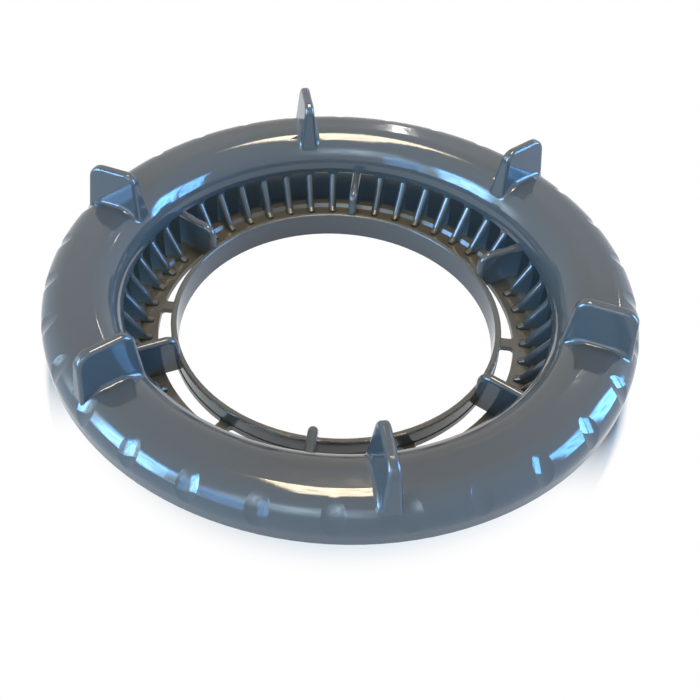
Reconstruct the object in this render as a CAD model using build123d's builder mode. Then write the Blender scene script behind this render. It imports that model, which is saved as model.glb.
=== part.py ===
from build123d import *
from math import cos, radians, sin, tan
import os

# Filter locking ring, one glossy plastic moulding, in millimetres
# Origin on the ring's axis, in the plane of the flat face that it rests on, +Z up

# Hub: a low collar round the hole, whose foot rests on the table, a floor and a raised ledge
hole_diameter = 91.0
collar_wall = 1.7
collar_height = 7.7
collar_edge_radius = 0.5
collar_foot_bevel = 0.6
floor_level = 3.2
floor_thickness = 1.7
step_foot_radius = 55.8
step_run = 0.8
ledge_rise = 1.0
ledge_inset = 0.4

# Drain slots in the floor, next to the collar
slot_width = 3.8
slot_ledge = 0.2
slot_corner_radius = 1.0
bridge_width = 3.2

# Rim: a hollow D section, open underneath, that overhangs the hub
rim_diameter = 162.0
rim_height = 26.0
rim_wall = 2.2
lip_diameter = 119.0
lip_clearance_height = 14.7
lip_band_height = 1.5
lip_band_step = 0.2
skirt_clearance_height = 15.8
rim_outer_radius = 7.5
rim_inner_radius = 9.7

# Finger scoops round the rim's outer shoulder
scoop_count = 30
scoop_depth = 0.45
scoop_half_width = 2.9
scoop_bed_radius = 10.9
scoop_lean = 38.0
scoop_sweep = 70.0

# Vanes between the ledge and the lip
vanes_between_fins = 7
vane_thickness = 2.4
vane_nose_radius = 54.2
vane_nose_height = 1.6
vane_toe_reach = 1.5
vane_toe_height = 0.8
vane_reach_under_lip = 0.9
vane_top_gap = 0.9
window_corner_radius = 1.1

# Inner fins, which stand on the collar and reach the lip
fin_count = 6
inner_fin_thickness = 2.6
inner_fin_setback = 0.8
inner_fin_overlap = 0.3
inner_fin_corner_radius = 3.6
edge_flat = 0.2

# Outer fins, which stand on the rim
outer_fin_turn = 15.0
outer_fin_height = 37.3
outer_fin_tip_thickness = 2.6
outer_fin_draft = 5.5
outer_fin_inner_radius = 62.7
outer_fin_outer_radius = 77.5
outer_fin_inner_lean = 1.5
outer_fin_outer_lean = 2.2
outer_fin_outer_corner = 4.2
outer_fin_inner_corner = 3.5
outer_fin_edge_radius = 1.0
outer_fin_root_fillet = 1.2

# Sizes that follow from the ones above
hole_radius = hole_diameter / 2
collar_radius = hole_radius + collar_wall
slot_inner_radius = collar_radius + slot_ledge
slot_outer_radius = slot_inner_radius + slot_width
floor_underside = floor_level - floor_thickness
step_top_radius = step_foot_radius + step_run
ledge_height = floor_level + ledge_rise
rim_radius = rim_diameter / 2
lip_radius = lip_diameter / 2
ledge_radius = lip_radius - ledge_inset
vane_back_radius = lip_radius + vane_reach_under_lip
vane_toe_radius = vane_nose_radius - vane_toe_reach
shoulder_centre_radius = rim_radius - rim_outer_radius
shoulder_centre_height = rim_height - rim_outer_radius
fin_pitch = 360 / fin_count
vane_pitch = fin_pitch / (vanes_between_fins + 1)
first_fin_angle = fin_pitch / 2

# One finger scoop, lying over the rim's shoulder at the angle zero
# It is a piece of a fat ring whose inner side is the bed of the scoop
scoop_tube_radius = (scoop_half_width**2 + scoop_depth**2) / (2 * scoop_depth)
bed_offset = scoop_bed_radius - (rim_outer_radius - scoop_depth)
bed_centre = Vector(
    shoulder_centre_radius - bed_offset * cos(radians(scoop_lean)),
    0,
    shoulder_centre_height - bed_offset * sin(radians(scoop_lean)),
)
scoop_start = radians(scoop_lean - scoop_sweep / 2)
scoop_direction = Vector(cos(scoop_start), 0, sin(scoop_start))
tube_centre = bed_centre + scoop_direction * (scoop_bed_radius + scoop_tube_radius)
with BuildPart() as finger_scoop:
    with BuildSketch(Plane(origin=tube_centre, x_dir=scoop_direction, z_dir=scoop_direction.cross(Vector(0, 1, 0)))):
        Circle(scoop_tube_radius)
    revolve(axis=Axis(bed_centre, (0, -1, 0)), revolution_arc=scoop_sweep)

# One vane: an upright blade whose rounded edge leans inwards down to a nose with a short toe
vane_top_height = lip_clearance_height + lip_band_step
with BuildPart() as vane:
    with BuildSketch(Plane.XZ):
        with BuildLine():
            Polyline(
                (vane_back_radius, floor_level),
                (vane_toe_radius, floor_level),
                (vane_toe_radius, floor_level + vane_toe_height),
                (vane_nose_radius, floor_level + vane_nose_height),
                (lip_radius, vane_top_height - vane_top_gap),
                (lip_radius, vane_top_height),
                (vane_back_radius, vane_top_height),
                close=True,
            )
        make_face()
    extrude(amount=vane_thickness / 2, both=True)
    nose_edges = (
        vane.edges()
        .filter_by(Plane.XZ)
        .filter_by(lambda edge: edge.center().X < lip_radius and edge.center().Z > floor_level)
        .filter_by(lambda edge: edge.center().Z < vane_top_height)
    )
    fillet(nose_edges, radius=(vane_thickness - edge_flat) / 2)

    # Flared head that rounds the upper corners of the windows
    with BuildSketch(Plane.YZ.offset(lip_radius + lip_band_step)):
        with Locations((0, lip_clearance_height)):
            Rectangle(vane_thickness + 2 * window_corner_radius, 2 * window_corner_radius)
        with Locations((0, lip_clearance_height + window_corner_radius)):
            Rectangle(
                vane_thickness + 2 * window_corner_radius,
                2 * (window_corner_radius - lip_band_step),
                mode=Mode.SUBTRACT,
            )
        corner_offset = vane_thickness / 2 + window_corner_radius
        with Locations(
            (-corner_offset, lip_clearance_height - window_corner_radius),
            (corner_offset, lip_clearance_height - window_corner_radius),
        ):
            Circle(window_corner_radius, mode=Mode.SUBTRACT)
    extrude(amount=vane_back_radius - lip_radius - lip_band_step)

# One inner fin: a level blade from the lip to the collar, rounded along its edge
inner_fin_height = lip_clearance_height + inner_fin_overlap
inner_fin_nose = hole_radius + inner_fin_setback
with BuildPart() as inner_fin:
    with BuildSketch(Plane.XZ):
        with BuildLine():
            FilletPolyline(
                (vane_back_radius, inner_fin_height),
                (inner_fin_nose, inner_fin_height),
                (inner_fin_nose, floor_level),
                radius=inner_fin_corner_radius,
            )
            Line((inner_fin_nose, floor_level), (vane_back_radius, floor_level))
            Line((vane_back_radius, floor_level), (vane_back_radius, inner_fin_height))
        make_face()
    extrude(amount=inner_fin_thickness / 2, both=True)
    rounded_edges = (
        inner_fin.edges()
        .filter_by(Plane.XZ)
        .filter_by(lambda edge: edge.center().X < vane_back_radius and edge.center().Z > floor_level)
    )
    fillet(rounded_edges, radius=(inner_fin_thickness - edge_flat) / 2)

# One outer fin: a blade that thickens towards its root in the rim's shoulder
outer_fin_root_height = shoulder_centre_height
outer_fin_rise = outer_fin_height - outer_fin_root_height
outer_fin_root_thickness = outer_fin_tip_thickness + 2 * outer_fin_rise * tan(radians(outer_fin_draft))
root_inner_radius = outer_fin_inner_radius - outer_fin_inner_lean
root_outer_radius = outer_fin_outer_radius + outer_fin_outer_lean
with BuildPart() as outer_fin:
    with BuildSketch(Plane.XY.offset(outer_fin_root_height)):
        with Locations(((root_inner_radius + root_outer_radius) / 2, 0)):
            Rectangle(root_outer_radius - root_inner_radius, outer_fin_root_thickness)
    with BuildSketch(Plane.XY.offset(outer_fin_height)):
        with Locations(((outer_fin_inner_radius + outer_fin_outer_radius) / 2, 0)):
            Rectangle(outer_fin_outer_radius - outer_fin_inner_radius, outer_fin_tip_thickness)
    loft()
    tip_ends = outer_fin.faces().sort_by(Axis.Z)[-1].edges().filter_by(Axis.Y).sort_by(Axis.X)
    fillet(tip_ends[0], radius=outer_fin_inner_corner)
    tip_ends = outer_fin.faces().sort_by(Axis.Z)[-1].edges().filter_by(Axis.Y).sort_by(Axis.X)
    fillet(tip_ends[-1], radius=outer_fin_outer_corner)
    side_faces = outer_fin.faces().sort_by(Axis.Y)
    outline_edges = side_faces[0].edges() + side_faces[-1].edges()
    fillet(
        [edge for edge in outline_edges if edge.center().Z > outer_fin_root_height + 0.01],
        radius=outer_fin_edge_radius,
    )

# Rim: solid D section with the outer fins and scoops, hollowed from below
with BuildPart() as rim:
    with BuildSketch(Plane.XZ):
        with BuildLine():
            FilletPolyline(
                (lip_radius, lip_clearance_height),
                (lip_radius, rim_height),
                (rim_radius, rim_height),
                (rim_radius, skirt_clearance_height),
                radius=(rim_inner_radius, rim_outer_radius),
            )
            Line((rim_radius, skirt_clearance_height), (lip_radius, lip_clearance_height))
        make_face()
    revolve(axis=Axis.Z)

    # Fine step at the upper edge of the lip band
    with BuildSketch(Plane.XZ):
        with Locations((lip_radius, lip_clearance_height)):
            Rectangle(2 * lip_band_step, 2 * lip_band_height)
    revolve(axis=Axis.Z, mode=Mode.SUBTRACT)

    # The scoop beside each fin cuts into the root fillet, but not into the fin, which is added again
    with PolarLocations(0, fin_count, start_angle=first_fin_angle + outer_fin_turn):
        add(outer_fin.part)
    fillet(rim.edges(Select.NEW), radius=outer_fin_root_fillet)
    with PolarLocations(0, scoop_count):
        add(finger_scoop.part, mode=Mode.SUBTRACT)
    with PolarLocations(0, fin_count, start_angle=first_fin_angle + outer_fin_turn):
        add(outer_fin.part)

    # Hollow, open underneath
    with BuildSketch(Plane.XZ):
        with BuildLine():
            FilletPolyline(
                (lip_radius + rim_wall, 0),
                (lip_radius + rim_wall, rim_height - rim_wall),
                (rim_radius - rim_wall, rim_height - rim_wall),
                (rim_radius - rim_wall, 0),
                radius=(rim_inner_radius - rim_wall, rim_outer_radius - rim_wall),
            )
            Line((rim_radius - rim_wall, 0), (lip_radius + rim_wall, 0))
        make_face()
    revolve(axis=Axis.Z, mode=Mode.SUBTRACT)

# Hub: collar, floor, sloping step and ledge, with the slots, inner fins and vanes
with BuildPart() as hub:
    with BuildSketch(Plane.XZ) as hub_section:
        with BuildLine():
            Polyline(
                (hole_radius, 0),
                (hole_radius, collar_height),
                (collar_radius, collar_height),
                (collar_radius, floor_level),
                (step_foot_radius, floor_level),
                (step_top_radius, ledge_height),
                (ledge_radius, ledge_height),
                (ledge_radius, ledge_height - floor_thickness),
                (step_top_radius, ledge_height - floor_thickness),
                (step_foot_radius, floor_underside),
                (collar_radius, floor_underside),
                (collar_radius - collar_foot_bevel, 0),
                close=True,
            )
        make_face()
        fillet(hub_section.vertices().group_by(Axis.Y)[-1], radius=collar_edge_radius)
    revolve(axis=Axis.Z)

    # Curved drain slots from bridge to bridge
    with BuildSketch() as slots:
        Circle(slot_outer_radius)
        Circle(slot_inner_radius, mode=Mode.SUBTRACT)
        with PolarLocations(slot_inner_radius + slot_width / 2, fin_count):
            Rectangle(slot_width * 2, bridge_width, mode=Mode.SUBTRACT)
        fillet(slots.vertices(), radius=slot_corner_radius)
    extrude(amount=floor_level, mode=Mode.SUBTRACT)

    with PolarLocations(0, fin_count, start_angle=first_fin_angle):
        add(inner_fin.part)
    for index in range(1, vanes_between_fins + 1):
        with PolarLocations(0, fin_count, start_angle=first_fin_angle + index * vane_pitch):
            add(vane.part)

with BuildPart() as locking_ring:
    add(rim.part)
    add(hub.part)

locking_ring.part.label = "locking_ring"

os.makedirs("parts", exist_ok=True)
export_step(locking_ring.part, "parts/locking_ring.step")
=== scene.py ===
"""Filter locking ring: its plastic finish, and the floor, light and camera round it."""

import logging
import math
from dataclasses import dataclass
from enum import Enum

import bpy
from mathutils import Matrix, Vector

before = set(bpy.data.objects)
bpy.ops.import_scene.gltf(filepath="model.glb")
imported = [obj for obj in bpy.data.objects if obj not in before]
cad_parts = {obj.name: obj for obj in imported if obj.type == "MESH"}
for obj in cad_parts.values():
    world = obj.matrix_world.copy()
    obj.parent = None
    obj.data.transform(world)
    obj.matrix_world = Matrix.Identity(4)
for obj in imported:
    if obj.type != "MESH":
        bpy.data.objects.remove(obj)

LOG = logging.getLogger("locking_ring_scene")
RING_NODE = "locking_ring"

Colour = tuple[float, float, float]

WHITE: Colour = (1.0, 1.0, 1.0)
WARM_LAMP: Colour = (1.0, 0.82, 0.58)
PALE_LAMP: Colour = (1.0, 0.96, 0.9)
SKY: Colour = (0.13, 0.45, 1.0)
HAZE: Colour = (0.64, 0.86, 1.0)


class LightSide(Enum):
    """Which way the long side of an area light runs."""

    UPRIGHT = (0.0, 0.0, 1.0)
    ACROSS_THE_ROOM = (-0.15, 0.989, 0.0)


class LightRole(Enum):
    """What an area light is there for: to light matt colour, and to show in reflections."""

    LAMP = (True, True)
    MIRRORED = (False, True)
    FILL = (True, False)


def direction(azimuth: float, elevation: float) -> Vector:
    """Turns two angles into a direction.

    Args:
        azimuth: Angle from +X towards +Y, degrees.
        elevation: Height above the horizon, degrees.

    Returns:
        The unit vector.
    """
    turn = math.radians(azimuth)
    rise = math.radians(elevation)
    return Vector((
        math.cos(rise) * math.cos(turn),
        math.cos(rise) * math.sin(turn),
        math.sin(rise),
    ))


def opaque(colour: Colour) -> tuple[float, float, float, float]:
    """Gives a colour the full opacity that a colour socket takes with it."""
    return (*colour, 1.0)


@dataclass(frozen=True)
class Ramp:
    """A soft step from 0 to 1.

    Attributes:
        start: Value where the step gives 0.
        end: Value where it gives 1.
    """

    start: float
    end: float


@dataclass(frozen=True)
class Pattern:
    """A noise and the values that it gives.

    Attributes:
        label: Label of its nodes.
        scale: Scale of the noise.
        detail: Detail of the noise.
        noise: Stretch of the noise that is used.
        gives: Values at the two ends of that stretch.
        grit: Roughness of the noise.
    """

    label: str
    scale: float
    detail: float
    noise: tuple[float, float]
    gives: tuple[float, float]
    grit: float = 0.5


CURTAIN_FOLDS = Pattern("folds of the curtain", 7.0, 3.0, noise=(0.35, 0.65), gives=(0.7, 2.0))
FLOW_STREAKS = Pattern("flow streaks", 38.0, 3.0, noise=(0.35, 0.75), gives=(0.0, 0.35))
RUBBED_PATCHES = Pattern(
    "rubbed patches", 55.0, 6.0, noise=(0.52, 0.8), gives=(0.0, 1.0), grit=0.65
)
# Painted warm shade: uneven share of the darker, browner colour laid on the hub.
UNEVEN_PAINTED_SHADE = Pattern("uneven painted shade", 90.0, 4.0, noise=(0.3, 0.6), gives=(0.6, 0.95))


class NodeTree:
    """Small helper for building one shader node tree."""

    def __init__(self, tree: bpy.types.NodeTree) -> None:
        """Keeps the tree.

        Args:
            tree: Node tree to add nodes to.
        """
        self.tree = tree

    def add(self, kind: str, label: str = "", **settings: object) -> bpy.types.Node:
        """Adds a node and sets its properties.

        Args:
            kind: Node type identifier.
            label: Label shown on the node.
            **settings: Node properties to set.

        Returns:
            The new node.
        """
        node = self.tree.nodes.new(kind)
        node.label = label
        for name, value in settings.items():
            setattr(node, name, value)
        return node

    def link(self, start: bpy.types.NodeSocket, end: bpy.types.NodeSocket) -> None:
        """Links an output socket to an input socket."""
        self.tree.links.new(start, end)

    def _pair(
        self,
        label: str,
        operation: str,
        first: bpy.types.NodeSocket,
        second: bpy.types.NodeSocket,
    ) -> bpy.types.NodeSocket:
        """Adds a value that is worked out from two others.

        Args:
            label: Label shown on the node.
            operation: How it is worked out.
            first: One value.
            second: The other value.

        Returns:
            The result's output.
        """
        node = self.add("ShaderNodeMath", label, operation=operation)
        self.link(first, node.inputs[0])
        self.link(second, node.inputs[1])
        return node.outputs["Value"]

    def times(
        self, first: bpy.types.NodeSocket, second: bpy.types.NodeSocket
    ) -> bpy.types.NodeSocket:
        """Adds the product of two values."""
        return self._pair("product", "MULTIPLY", first, second)

    def larger(
        self, label: str, first: bpy.types.NodeSocket, second: bpy.types.NodeSocket
    ) -> bpy.types.NodeSocket:
        """Adds the larger of two values."""
        return self._pair(label, "MAXIMUM", first, second)

    def seen_ray(self) -> bpy.types.NodeSocket:
        """Adds a value that is 1 where the camera, a reflection or a see-through surface looks.

        Returns:
            The value's output.
        """
        path = self.add("ShaderNodeLightPath")
        mirrored = self.larger(
            "camera or reflection", path.outputs["Is Camera Ray"], path.outputs["Is Glossy Ray"]
        )
        return self.larger("or through glass", mirrored, path.outputs["Is Transmission Ray"])

    def _stretch(
        self,
        label: str,
        value: bpy.types.NodeSocket,
        reads: tuple[float, float],
        gives: tuple[float, float],
        **settings: object,
    ) -> bpy.types.NodeSocket:
        """Adds a node that turns one stretch of values into another.

        Args:
            label: Label shown on the node.
            value: Value that it reads.
            reads: Ends of the stretch that it reads, the lower one first.
            gives: Values that it gives there.
            **settings: Node properties to set.

        Returns:
            The new value's output.
        """
        node = self.add("ShaderNodeMapRange", label, **settings)
        names = ("From Min", "From Max", "To Min", "To Max")
        for name, number in zip(names, (*reads, *gives)):
            node.inputs[name].default_value = number
        self.link(value, node.inputs["Value"])
        return node.outputs["Result"]

    def soft_step(self, value: bpy.types.NodeSocket, ramp: Ramp) -> bpy.types.NodeSocket:
        """Adds a soft step from 0 to 1.

        Args:
            value: Value that the step reads.
            ramp: Where it starts and ends, rising or falling.

        Returns:
            The step's output.
        """
        reads, gives = (ramp.start, ramp.end), (0.0, 1.0)
        if ramp.start > ramp.end:
            reads, gives = (ramp.end, ramp.start), (1.0, 0.0)
        return self._stretch("soft step", value, reads, gives, interpolation_type="SMOOTHSTEP")

    def noise(
        self, place: bpy.types.NodeSocket, label: str, scale: float, detail: float
    ) -> bpy.types.Node:
        """Adds a noise.

        Args:
            place: Coordinates that it reads.
            label: Label shown on the node.
            scale: Scale of the noise.
            detail: Detail of the noise.

        Returns:
            The noise node.
        """
        node = self.add("ShaderNodeTexNoise", label)
        node.inputs["Scale"].default_value = scale
        node.inputs["Detail"].default_value = detail
        self.link(place, node.inputs["Vector"])
        return node

    def pattern(self, place: bpy.types.NodeSocket, pattern: Pattern) -> bpy.types.NodeSocket:
        """Adds a noise and stretches it to the values that it should give.

        Args:
            place: Coordinates that it reads.
            pattern: The noise and its values.

        Returns:
            The pattern's output.
        """
        noise = self.noise(place, pattern.label, pattern.scale, pattern.detail)
        noise.inputs["Roughness"].default_value = pattern.grit
        return self._stretch(pattern.label, noise.outputs["Fac"], pattern.noise, pattern.gives)


@dataclass(frozen=True)
class PlasticFinish:
    """Glossy moulded plastic.

    Attributes:
        name: Material name.
        colour: Main colour of the plastic, linear.
        streak_colour: Colour of the faint flow streaks.
        painted_shade_colour: Darker, browner colour laid on the hub as painted warm shade.
        roughness: Roughness of the clean surface.
        worn_roughness: Roughness inside the rubbed patches.
        ior: Index of refraction.
        bump_strength: Strength of the fine unevenness.
        bump_depth: Depth of the fine unevenness, metres.
    """

    name: str
    colour: Colour
    streak_colour: Colour
    painted_shade_colour: Colour
    roughness: float
    worn_roughness: float
    ior: float
    bump_strength: float
    bump_depth: float


@dataclass(frozen=True)
class PaintedShadeZones:
    """Where the painted warm shade lies on the hub, in metres.

    Attributes:
        floor_height: Height up to which it lies on the hub's floor.
        collar_height: Height up to which it lies on the collar's outside.
        collar_radius: Distance from the axis within which a surface counts as the collar.
        past_hole: Distance from the axis that keeps it off the wall of the hole.
    """

    floor_height: Ramp = Ramp(0.0062, 0.005)
    collar_height: Ramp = Ramp(0.0086, 0.0078)
    collar_radius: Ramp = Ramp(0.0478, 0.0473)
    past_hole: Ramp = Ramp(0.0455, 0.0458)


class SurfaceGroup:
    """Node group for a moulded surface: flow streaks, rubbed patches, painted warm shade on the
    hub and fine unevenness.
    """

    INPUTS = (
        ("Colour", "NodeSocketColor"),
        ("Streak Colour", "NodeSocketColor"),
        ("Painted Shade Colour", "NodeSocketColor"),
        ("Roughness", "NodeSocketFloat"),
        ("Worn Roughness", "NodeSocketFloat"),
    )
    OUTPUTS = (
        ("Base Color", "NodeSocketColor"),
        ("Roughness", "NodeSocketFloat"),
        ("Height", "NodeSocketFloat"),
    )
    WAVE_SCALE = 260.0
    WAVE_DETAIL = 4.0

    def __init__(self, zones: PaintedShadeZones) -> None:
        """Builds the group.

        Args:
            zones: Where the painted warm shade lies.
        """
        self.zones = zones
        self.tree = bpy.data.node_groups.new("moulded_surface", "ShaderNodeTree")
        for name, kind in self.INPUTS:
            self.tree.interface.new_socket(name, in_out="INPUT", socket_type=kind)
        for name, kind in self.OUTPUTS:
            self.tree.interface.new_socket(name, in_out="OUTPUT", socket_type=kind)
        self._build()

    def _build(self) -> None:
        """Adds the nodes and links."""
        tree = NodeTree(self.tree)
        entry = tree.add("NodeGroupInput")
        leave = tree.add("NodeGroupOutput")
        place = tree.add("ShaderNodeTexCoord").outputs["Object"]
        streaked = tree.add("ShaderNodeMix", "streaks over colour", data_type="RGBA")
        tree.link(tree.pattern(place, FLOW_STREAKS), streaked.inputs["Factor"])
        tree.link(entry.outputs["Colour"], streaked.inputs["A"])
        tree.link(entry.outputs["Streak Colour"], streaked.inputs["B"])
        # Painted warm shade: the hub's floor and the collar's outside get a darker, browner
        # colour.
        painted_shade = self._painted_shade(tree, place)
        with_painted_shade = tree.add("ShaderNodeMix", "painted shade over colour", data_type="RGBA")
        tree.link(painted_shade, with_painted_shade.inputs["Factor"])
        tree.link(streaked.outputs["Result"], with_painted_shade.inputs["A"])
        tree.link(entry.outputs["Painted Shade Colour"], with_painted_shade.inputs["B"])
        tree.link(with_painted_shade.outputs["Result"], leave.inputs["Base Color"])
        worn = tree.pattern(place, RUBBED_PATCHES)
        rough = tree.add("ShaderNodeMix", "roughness", data_type="FLOAT")
        tree.link(tree.larger("rubbed or under the painted shade", worn, painted_shade), rough.inputs["Factor"])
        tree.link(entry.outputs["Roughness"], rough.inputs["A"])
        tree.link(entry.outputs["Worn Roughness"], rough.inputs["B"])
        tree.link(rough.outputs["Result"], leave.inputs["Roughness"])
        waves = tree.noise(place, "fine unevenness", self.WAVE_SCALE, self.WAVE_DETAIL)
        tree.link(waves.outputs["Fac"], leave.inputs["Height"])

    def _painted_shade(self, tree: NodeTree, place: bpy.types.NodeSocket) -> bpy.types.NodeSocket:
        """Adds the share of painted warm shade, on the hub's floor and round the outside of its
        collar.

        Args:
            tree: Tree to add to.
            place: Object coordinates.

        Returns:
            The share's output.
        """
        parts = tree.add("ShaderNodeSeparateXYZ")
        tree.link(place, parts.inputs["Vector"])
        height = parts.outputs["Z"]
        flat = tree.add("ShaderNodeVectorMath", "without the height", operation="MULTIPLY")
        flat.inputs[1].default_value = (1.0, 1.0, 0.0)
        tree.link(place, flat.inputs[0])
        from_axis = tree.add("ShaderNodeVectorMath", "distance from the axis", operation="LENGTH")
        tree.link(flat.outputs["Vector"], from_axis.inputs[0])
        radius = from_axis.outputs["Value"]
        low = tree.soft_step(height, self.zones.floor_height)
        collar = tree.times(
            tree.soft_step(height, self.zones.collar_height),
            tree.soft_step(radius, self.zones.collar_radius),
        )
        past_hole = tree.soft_step(radius, self.zones.past_hole)
        covered = tree.times(tree.larger("floor or collar", low, collar), past_hole)
        return tree.times(covered, tree.pattern(place, UNEVEN_PAINTED_SHADE))


class PlasticMaterial:
    """Material of the ring."""

    def __init__(self, finish: PlasticFinish, surface: SurfaceGroup) -> None:
        """Builds the material.

        Args:
            finish: Colours, roughness and bump.
            surface: Shared surface group.
        """
        self.finish = finish
        self.surface = surface
        self.material = bpy.data.materials.new(finish.name)
        self.material.use_nodes = True
        self._build()

    def _build(self) -> None:
        """Adds the nodes and links."""
        self.material.node_tree.nodes.clear()
        tree = NodeTree(self.material.node_tree)
        shader = tree.add("ShaderNodeBsdfPrincipled")
        leave = tree.add("ShaderNodeOutputMaterial")
        group = tree.add("ShaderNodeGroup", "moulded surface", node_tree=self.surface.tree)
        group.inputs["Colour"].default_value = opaque(self.finish.colour)
        group.inputs["Streak Colour"].default_value = opaque(self.finish.streak_colour)
        # Colour of the painted warm shade on the hub.
        group.inputs["Painted Shade Colour"].default_value = opaque(self.finish.painted_shade_colour)
        group.inputs["Roughness"].default_value = self.finish.roughness
        group.inputs["Worn Roughness"].default_value = self.finish.worn_roughness
        bump = tree.add("ShaderNodeBump")
        bump.inputs["Strength"].default_value = self.finish.bump_strength
        bump.inputs["Distance"].default_value = self.finish.bump_depth
        shader.inputs["IOR"].default_value = self.finish.ior
        tree.link(group.outputs["Base Color"], shader.inputs["Base Color"])
        tree.link(group.outputs["Roughness"], shader.inputs["Roughness"])
        tree.link(group.outputs["Height"], bump.inputs["Height"])
        tree.link(bump.outputs["Normal"], shader.inputs["Normal"])
        tree.link(shader.outputs["BSDF"], leave.inputs["Surface"])


@dataclass
class LockingRing:
    """The ring itself, shown as the frame's own solid.

    Attributes:
        plastic: Plastic that it is moulded from.
    """

    plastic: PlasticMaterial

    def dress(self) -> None:
        """Gives the frame's solid its finish."""
        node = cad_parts[RING_NODE]
        node.data.materials.clear()
        node.data.materials.append(self.plastic.material)


@dataclass(frozen=True)
class FloorFinish:
    """Pale matt surface that the ring stands on.

    Attributes:
        name: Material name.
        colour: Colour of the floor to the camera, linear.
        grain_colour: Colour of its faint grain.
        grain_scale: Scale of the grain.
        grain_detail: Detail of the grain.
        bounce_colour: Colour that it throws back on the ring.
        shade_colour: Painted shade colour under the rim.
    """

    name: str
    colour: Colour
    grain_colour: Colour
    grain_scale: float
    grain_detail: float
    bounce_colour: Colour
    shade_colour: Colour


@dataclass
class Floor:
    """Floor round the ring, shaded under the rim and plain white to the camera elsewhere.

    The ramps go by the distance from the ring's axis, or by Y where they say so, in metres.

    Attributes:
        finish: Its finish.
        half_width: Half of its width.
        shade_starts: Where the shade under the rim starts.
        shade_ends: Where that shade ends.
        shade_behind: Y that keeps the shade behind the front of the ring.
        white_in_hole: Where it is white inside the ring.
        white_past_rim: Where it is white outside the ring.
        white_under_front: Where it is white under the front of the rim.
        front: Y where that front starts.
    """

    finish: FloorFinish
    half_width: float = 12.0
    shade_starts: Ramp = Ramp(0.0545, 0.058)
    shade_ends: Ramp = Ramp(0.0825, 0.08)
    shade_behind: Ramp = Ramp(-0.05, -0.02)
    white_in_hole: Ramp = Ramp(0.057, 0.0545)
    white_past_rim: Ramp = Ramp(0.081, 0.084)
    white_under_front: Ramp = Ramp(0.058, 0.08)
    front: Ramp = Ramp(-0.02, -0.05)

    def build(self) -> None:
        """Adds the floor."""
        half = self.half_width
        corners = [(-half, -half, 0.0), (half, -half, 0.0), (half, half, 0.0), (-half, half, 0.0)]
        mesh = bpy.data.meshes.new("floor")
        mesh.from_pydata(corners, [], [(0, 1, 2, 3)])
        floor = bpy.data.objects.new("floor", mesh)
        bpy.context.scene.collection.objects.link(floor)
        mesh.materials.append(self._material())

    def _material(self) -> bpy.types.Material:
        """Builds the material: pale to the camera, plainer to the ring.

        Returns:
            The material.
        """
        material = bpy.data.materials.new(self.finish.name)
        material.use_nodes = True
        material.node_tree.nodes.clear()
        tree = NodeTree(material.node_tree)
        place = tree.add("ShaderNodeTexCoord").outputs["Object"]
        from_axis = tree.add("ShaderNodeVectorMath", "distance from the axis", operation="LENGTH")
        tree.link(place, from_axis.inputs[0])
        radius = from_axis.outputs["Value"]
        parts = tree.add("ShaderNodeSeparateXYZ")
        tree.link(place, parts.inputs["Vector"])
        depth = parts.outputs["Y"]
        seen_ray = tree.seen_ray()
        seen = tree.add("ShaderNodeMix", "colour by ray", data_type="RGBA")
        seen.inputs["A"].default_value = opaque(self.finish.bounce_colour)
        tree.link(seen_ray, seen.inputs["Factor"])
        tree.link(self._pale(tree, place, radius, depth), seen.inputs["B"])
        matt = tree.add("ShaderNodeBsdfDiffuse")
        tree.link(seen.outputs["Result"], matt.inputs["Color"])
        white = tree.add("ShaderNodeEmission")
        white.inputs["Strength"].default_value = 1.0
        blend = tree.add("ShaderNodeMixShader")
        leave = tree.add("ShaderNodeOutputMaterial")
        tree.link(tree.times(self._white(tree, radius, depth), seen_ray), blend.inputs["Fac"])
        tree.link(matt.outputs["BSDF"], blend.inputs[1])
        tree.link(white.outputs["Emission"], blend.inputs[2])
        tree.link(blend.outputs["Shader"], leave.inputs["Surface"])
        return material

    def _pale(
        self,
        tree: NodeTree,
        place: bpy.types.NodeSocket,
        radius: bpy.types.NodeSocket,
        depth: bpy.types.NodeSocket,
    ) -> bpy.types.NodeSocket:
        """Adds the floor's grained colour with the painted shade under the rim.

        Args:
            tree: Tree to add to.
            place: Object coordinates.
            radius: Distance from the axis.
            depth: Y.

        Returns:
            The colour's output.
        """
        grain = tree.noise(place, "grain", self.finish.grain_scale, self.finish.grain_detail)
        pale = tree.add("ShaderNodeMix", "grain over colour", data_type="RGBA")
        pale.inputs["A"].default_value = opaque(self.finish.colour)
        pale.inputs["B"].default_value = opaque(self.finish.grain_colour)
        tree.link(grain.outputs["Fac"], pale.inputs["Factor"])
        # Painted shade: a dark ring laid into the floor's colour under the rim, behind the front
        # of the ring.
        under_rim = tree.times(
            tree.soft_step(radius, self.shade_starts), tree.soft_step(radius, self.shade_ends)
        )
        behind = tree.soft_step(depth, self.shade_behind)
        shaded = tree.add("ShaderNodeMix", "shade over colour", data_type="RGBA")
        shaded.inputs["B"].default_value = opaque(self.finish.shade_colour)
        tree.link(tree.times(under_rim, behind), shaded.inputs["Factor"])
        tree.link(pale.outputs["Result"], shaded.inputs["A"])
        return shaded.outputs["Result"]

    def _white(
        self, tree: NodeTree, radius: bpy.types.NodeSocket, depth: bpy.types.NodeSocket
    ) -> bpy.types.NodeSocket:
        """Adds the share of plain white, painted light that covers the ring's shadow in the hole,
        past the rim and under the front of the rim.

        Args:
            tree: Tree to add to.
            radius: Distance from the axis.
            depth: Y.

        Returns:
            The share's output.
        """
        in_hole = tree.soft_step(radius, self.white_in_hole)
        past_rim = tree.soft_step(radius, self.white_past_rim)
        under_front = tree.times(
            tree.soft_step(radius, self.white_under_front), tree.soft_step(depth, self.front)
        )
        outside = tree.larger("outside the rim", past_rim, under_front)
        return tree.larger("share of plain white", in_hole, outside)


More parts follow.
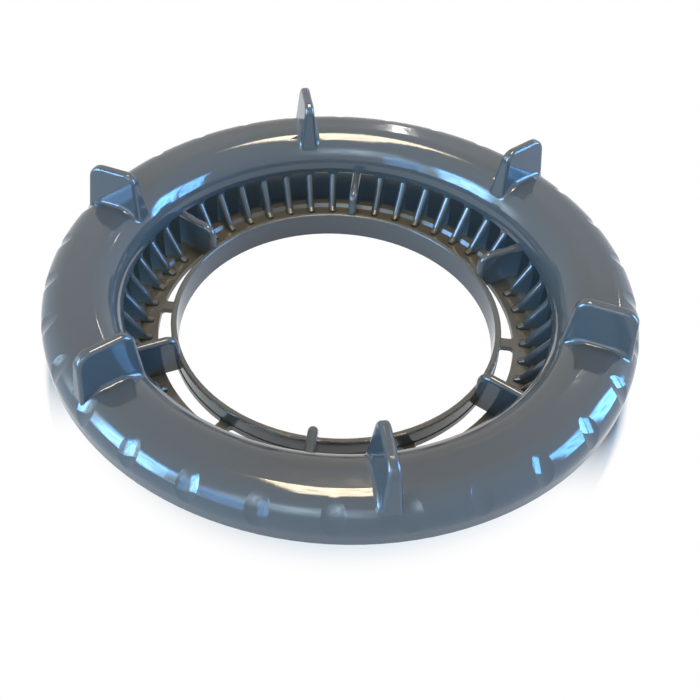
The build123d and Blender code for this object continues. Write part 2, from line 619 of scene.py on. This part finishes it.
@dataclass(frozen=True)
class Room:
    """Even light of the room, white where the camera looks past the floor.

    Attributes:
        colour: Colour of the light that it throws on the ring.
    """

    colour: Colour

    def build(self) -> None:
        """Sets the world."""
        world = bpy.data.worlds.new("room")
        world.use_nodes = True
        world.node_tree.nodes.clear()
        tree = NodeTree(world.node_tree)
        room = tree.add("ShaderNodeBackground", "room")
        room.inputs["Color"].default_value = opaque(self.colour)
        white = tree.add("ShaderNodeBackground", "white")
        white.inputs["Color"].default_value = opaque(WHITE)
        blend = tree.add("ShaderNodeMixShader")
        leave = tree.add("ShaderNodeOutputWorld")
        tree.link(tree.seen_ray(), blend.inputs["Fac"])
        tree.link(room.outputs["Background"], blend.inputs[1])
        tree.link(white.outputs["Background"], blend.inputs[2])
        tree.link(blend.outputs["Shader"], leave.inputs["Surface"])
        bpy.context.scene.world = world


@dataclass(frozen=True)
class AreaLight:
    """One soft rectangular light that points at the ring.

    Attributes:
        name: Object name.
        azimuth: Direction from the ring, degrees from +X towards +Y.
        elevation: Height above the horizon, degrees.
        distance: Distance from the point that it faces, metres.
        width: Short side, metres.
        length: Long side, metres.
        radiance: Brightness of its face.
        colour: Light colour, linear.
        side: Which way the long side runs.
        soft_edge: Share of the face over which the light fades towards its edges.
        role: Whether it lights surfaces, is mirrored in them, or both.
    """

    name: str
    azimuth: float
    elevation: float
    distance: float
    width: float
    length: float
    radiance: float
    colour: Colour
    side: LightSide = LightSide.UPRIGHT
    soft_edge: float = 0.0
    role: LightRole = LightRole.LAMP

    def build(self, target: Vector) -> None:
        """Adds the light to the scene.

        Args:
            target: Point that the light faces.
        """
        data = bpy.data.lights.new(self.name, "AREA")
        data.shape = "RECTANGLE"
        data.size = self.width
        data.size_y = self.length
        data.energy = self.radiance * math.pi * self.width * self.length
        data.color = self.colour
        if self.soft_edge > 0.0:
            self._soften(data)
        away = direction(self.azimuth, self.elevation)
        across = Vector(self.side.value).cross(away).normalized()
        along = away.cross(across)
        turn = Matrix((across, along, away)).transposed().to_4x4()
        light = bpy.data.objects.new(self.name, data)
        light.matrix_world = Matrix.Translation(target + away * self.distance) @ turn
        light.visible_camera = False
        light.visible_diffuse, light.visible_glossy = self.role.value
        bpy.context.scene.collection.objects.link(light)

    def _soften(self, data: bpy.types.Light) -> None:
        """Fades the light towards its edges and makes it uneven, as a net curtain does.

        Args:
            data: The light's data.
        """
        data.use_nodes = True
        data.node_tree.nodes.clear()
        tree = NodeTree(data.node_tree)
        face = tree.add("ShaderNodeNewGeometry").outputs["Parametric"]
        parts = tree.add("ShaderNodeSeparateXYZ")
        tree.link(face, parts.inputs["Vector"])
        first_edge = Ramp(0.0, self.soft_edge)
        last_edge = Ramp(1.0, 1.0 - self.soft_edge)
        across, along = (
            tree.times(tree.soft_step(part, first_edge), tree.soft_step(part, last_edge))
            for part in (parts.outputs["X"], parts.outputs["Y"])
        )
        glow = tree.add("ShaderNodeEmission")
        leave = tree.add("ShaderNodeOutputLight")
        folds = tree.pattern(face, CURTAIN_FOLDS)
        tree.link(tree.times(tree.times(across, along), folds), glow.inputs["Strength"])
        tree.link(glow.outputs["Emission"], leave.inputs["Surface"])


@dataclass(frozen=True)
class RoomLights:
    """Lamps, windows and fill lights round the ring.

    Attributes:
        target_height: Height of the point that they face, metres.
    """

    target_height: float

    def build(self) -> list[str]:
        """Adds every light.

        Returns:
            The lights' names.
        """
        target = Vector((0.0, 0.0, self.target_height))
        lights = [*self._lamps(), *self._windows(), *self._fills()]
        for light in lights:
            light.build(target)
        return [light.name for light in lights]

    @staticmethod
    def _lamps() -> list[AreaLight]:
        """Describes the lamps, which light the ring and are mirrored in it.

        Returns:
            The lamps.
        """
        across = LightSide.ACROSS_THE_ROOM
        return [
            AreaLight(
                "ceiling_lamp", azimuth=90.0, elevation=78.0, distance=0.5, width=0.14,
                length=0.29, radiance=14.5, colour=WARM_LAMP, side=across, soft_edge=0.12,
            ),
            AreaLight(
                "back_lamp", azimuth=90.0, elevation=32.0, distance=2.5, width=0.04,
                length=0.12, radiance=22.0, colour=PALE_LAMP, side=across,
            ),
            AreaLight(
                "right_lamp", azimuth=57.0, elevation=34.0, distance=2.5, width=0.05,
                length=0.14, radiance=26.0, colour=PALE_LAMP, side=across,
            ),
            AreaLight(
                "right_high_lamp", azimuth=72.0, elevation=44.0, distance=2.5, width=0.03,
                length=0.1, radiance=22.0, colour=PALE_LAMP, side=across,
            ),
        ]

    @staticmethod
    def _windows() -> list[AreaLight]:
        """Describes the window panes and the haze round them, which are only mirrored.

        Returns:
            The panes and the haze.
        """
        role = LightRole.MIRRORED
        return [
            AreaLight(
                "right_window_back_pane", azimuth=15.0, elevation=15.0, distance=1.5, width=0.46,
                length=1.15, radiance=20.0, colour=SKY, soft_edge=0.15, role=role,
            ),
            AreaLight(
                "right_window_front_pane", azimuth=-2.0, elevation=15.0, distance=1.5, width=0.42,
                length=1.1, radiance=15.0, colour=SKY, soft_edge=0.15, role=role,
            ),
            AreaLight(
                "left_window_back_pane", azimuth=209.0, elevation=17.0, distance=1.5, width=0.95,
                length=1.25, radiance=14.5, colour=SKY, soft_edge=0.25, role=role,
            ),
            AreaLight(
                "left_window_front_pane", azimuth=242.0, elevation=17.0, distance=1.5, width=0.7,
                length=1.2, radiance=3.0, colour=SKY, soft_edge=0.25, role=role,
            ),
            AreaLight(
                "left_haze", azimuth=205.0, elevation=14.0, distance=1.7, width=2.4,
                length=1.8, radiance=5.2, colour=HAZE, soft_edge=0.5, role=role,
            ),
            AreaLight(
                "front_haze", azimuth=266.0, elevation=36.0, distance=1.7, width=2.2,
                length=1.2, radiance=3.2, colour=HAZE, soft_edge=0.5, role=role,
            ),
        ]

    @staticmethod
    def _fills() -> list[AreaLight]:
        """Describes the daylight from the windows' sides, which only lights matt colour.

        Returns:
            The fill lights.
        """
        role = LightRole.FILL
        return [
            AreaLight(
                "right_fill", azimuth=6.0, elevation=8.0, distance=1.5, width=1.0,
                length=0.8, radiance=19.0, colour=(0.24, 0.58, 1.0), role=role,
            ),
            AreaLight(
                "left_fill", azimuth=215.0, elevation=8.0, distance=1.5, width=1.4,
                length=0.8, radiance=12.0, colour=(0.38, 0.7, 1.0), role=role,
            ),
            AreaLight(
                "front_fill", azimuth=266.0, elevation=25.0, distance=1.5, width=1.5,
                length=0.8, radiance=3.0, colour=(0.6, 0.82, 1.0), role=role,
            ),
        ]


@dataclass(frozen=True)
class PhotoCamera:
    """Camera that stands where the photograph was taken from.

    Attributes:
        azimuth: Direction of the camera from the ring's axis, degrees from +X towards +Y.
        elevation: Height of the camera above the rest plane, degrees.
        distance: Distance from the origin, metres.
        pan: Turn to the right after looking at the origin, degrees.
        tilt: Turn upwards after that, degrees.
        roll: Turn about the view axis after that, degrees.
        lens: Focal length, millimetres.
        shift_x: Horizontal lens shift.
        shift_y: Vertical lens shift.
        sensor_width: Width of the sensor, millimetres.
        nearest: Distance where the view starts, metres.
        furthest: Distance where the view ends, metres.
    """

    azimuth: float
    elevation: float
    distance: float
    pan: float
    tilt: float
    roll: float
    lens: float
    shift_x: float
    shift_y: float
    sensor_width: float = 36.0
    nearest: float = 0.01
    furthest: float = 50.0

    def build(self) -> None:
        """Adds the camera and makes it the scene's camera."""
        place = self.distance * direction(self.azimuth, self.elevation)
        forward = -place.normalized()
        right = forward.cross(Vector((0.0, 0.0, 1.0))).normalized()
        up = right.cross(forward)
        turned = self._turned(Matrix((right, up, forward)))
        axes = Matrix((turned[0], turned[1], -turned[2])).transposed()
        data = bpy.data.cameras.new("photo_camera")
        data.lens = self.lens
        data.sensor_width = self.sensor_width
        data.shift_x = self.shift_x
        data.shift_y = self.shift_y
        data.clip_start = self.nearest
        data.clip_end = self.furthest
        camera = bpy.data.objects.new("photo_camera", data)
        camera.matrix_world = Matrix.Translation(place) @ axes.to_4x4()
        bpy.context.scene.collection.objects.link(camera)
        bpy.context.scene.camera = camera

    def _turned(self, axes: Matrix) -> Matrix:
        """Pans, tilts and rolls the view axes.

        Args:
            axes: Rows right, up and forward.

        Returns:
            The turned rows.
        """
        pan = Matrix.Rotation(math.radians(self.pan), 3, "Y")
        tilt = Matrix.Rotation(math.radians(self.tilt), 3, "X")
        roll = Matrix.Rotation(math.radians(self.roll), 3, "Z")
        return roll @ tilt @ pan @ axes


def main() -> None:
    """Gives the ring its finish, then builds the floor, the light and the camera."""
    logging.basicConfig(level=logging.INFO)
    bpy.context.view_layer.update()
    plastic = PlasticFinish(
        name="blue_grey_plastic",
        colour=(0.072, 0.083, 0.095),
        streak_colour=(0.082, 0.093, 0.104),
        # Painted warm shade on the hub.
        painted_shade_colour=(0.1, 0.095, 0.078),
        roughness=0.07,
        worn_roughness=0.22,
        ior=1.58,
        bump_strength=0.2,
        bump_depth=0.0001,
    )
    floor = FloorFinish(
        name="pale_floor",
        colour=(0.8, 0.8, 0.8),
        grain_colour=(0.78, 0.78, 0.78),
        grain_scale=30.0,
        grain_detail=2.0,
        bounce_colour=(0.52, 0.52, 0.5),
        # Painted shade under the rim.
        shade_colour=(0.1, 0.1, 0.095),
    )
    LockingRing(PlasticMaterial(plastic, SurfaceGroup(PaintedShadeZones()))).dress()
    LOG.info("ring: %s in %s", RING_NODE, plastic.name)
    Floor(floor).build()
    LOG.info("floor: %s", floor.name)
    Room(colour=(0.08, 0.07, 0.06)).build()
    LOG.info("room: even light")
    names = RoomLights(target_height=0.02).build()
    LOG.info("lights: %s", ", ".join(names))
    PhotoCamera(
        azimuth=-85.524,
        elevation=45.019,
        distance=0.2611641306,
        pan=3.367,
        tilt=0.727,
        roll=-3.228,
        lens=45.592,
        shift_x=0.0963,
        shift_y=-0.0473,
    ).build()
    LOG.info("camera: placed")
    bpy.context.scene.view_settings.view_transform = "Standard"


if __name__ == "__main__":
    main()
